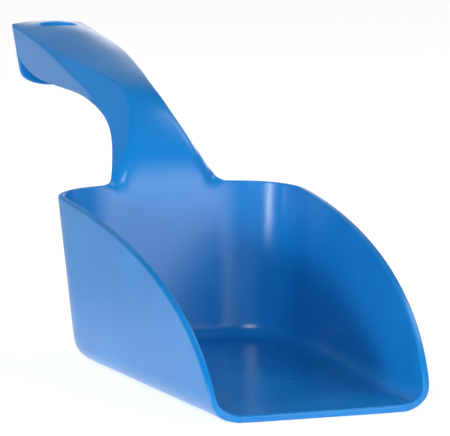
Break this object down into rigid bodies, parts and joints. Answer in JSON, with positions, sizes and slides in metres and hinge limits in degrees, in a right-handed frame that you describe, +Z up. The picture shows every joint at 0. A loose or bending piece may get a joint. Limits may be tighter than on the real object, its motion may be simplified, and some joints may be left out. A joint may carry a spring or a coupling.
{
  "type": "hand feed scoop",
  "caption": "One-piece moulded plastic hand scoop with an open-fronted bowl, rounded rear corners and a raised channel handle with a hanging hole.",
  "frame": {"origin": "middle of the flat underside of the floor, half way from the lip to the foot of the back wall", "axes": "+X across the width, -Y out over the pouring lip, +Y towards the end of the handle, +Z up. Left and right in the node names are as seen from in front of the lip, left being -X"},
  "size_m": [0.0982, 0.3506, 0.1192],
  "materials": {
    "blue_plastic": "smooth moulded polypropylene, satin gloss"
  },
  "bodies": {
    "root": {"bowl_floor": "blue_plastic", "bowl_left_wall": "blue_plastic", "bowl_right_wall": "blue_plastic", "bowl_left_corner": "blue_plastic", "bowl_right_corner": "blue_plastic", "bowl_back_wall": "blue_plastic", "handle_neck": "blue_plastic", "handle_grip": "blue_plastic", "handle_end": "blue_plastic"}
  },
  "joints": []
}
